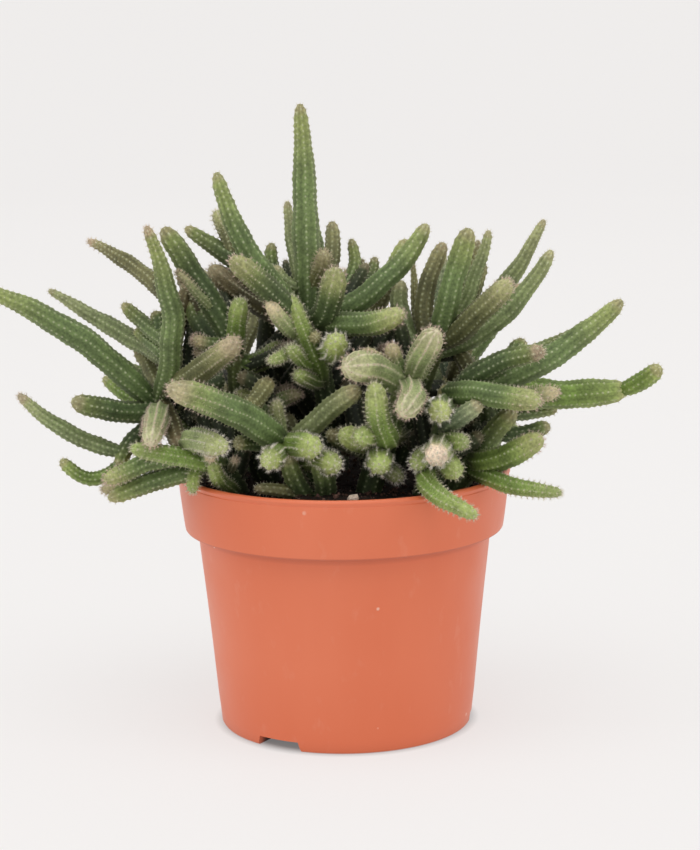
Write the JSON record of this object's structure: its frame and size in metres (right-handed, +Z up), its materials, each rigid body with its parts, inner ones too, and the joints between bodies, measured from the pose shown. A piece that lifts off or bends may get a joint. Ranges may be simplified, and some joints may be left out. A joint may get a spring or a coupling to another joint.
{
  "type": "potted mistletoe cactus",
  "caption": "Young mistletoe cactus, a bushy clump of ribbed bristly green stems rooted in dark peat in a small terracotta-coloured plastic nursery pot.",
  "frame": {"origin": "centre of the pot's flat base, on the surface that the pot stands on", "axes": "+Z up through the pot's axis, -Y towards the plant's front, +X to the right as seen from the front"},
  "size_m": [0.1181, 0.0784, 0.1114],
  "materials": {
    "pot": "satin terracotta-coloured moulded plastic",
    "soil": "matt dark peat",
    "stem": "waxy green skin with pale bristly areoles"
  },
  "bodies": {
    "root": {"pot": "pot", "soil": "soil", "shoot_left": "stem", "shoot_front_left": "stem", "shoot_centre_left": "stem", "shoot_front": "stem", "shoot_front_right": "stem", "shoot_centre": "stem", "shoot_top": "stem", "shoot_upper_right": "stem", "shoot_right": "stem", "shoot_low_right": "stem", "shoot_back_left": "stem", "shoot_back": "stem", "shoot_back_right": "stem", "shoot_rim_back": "stem", "shoot_rim_back_left": "stem", "shoot_rim_back_right": "stem"}
  },
  "joints": []
}
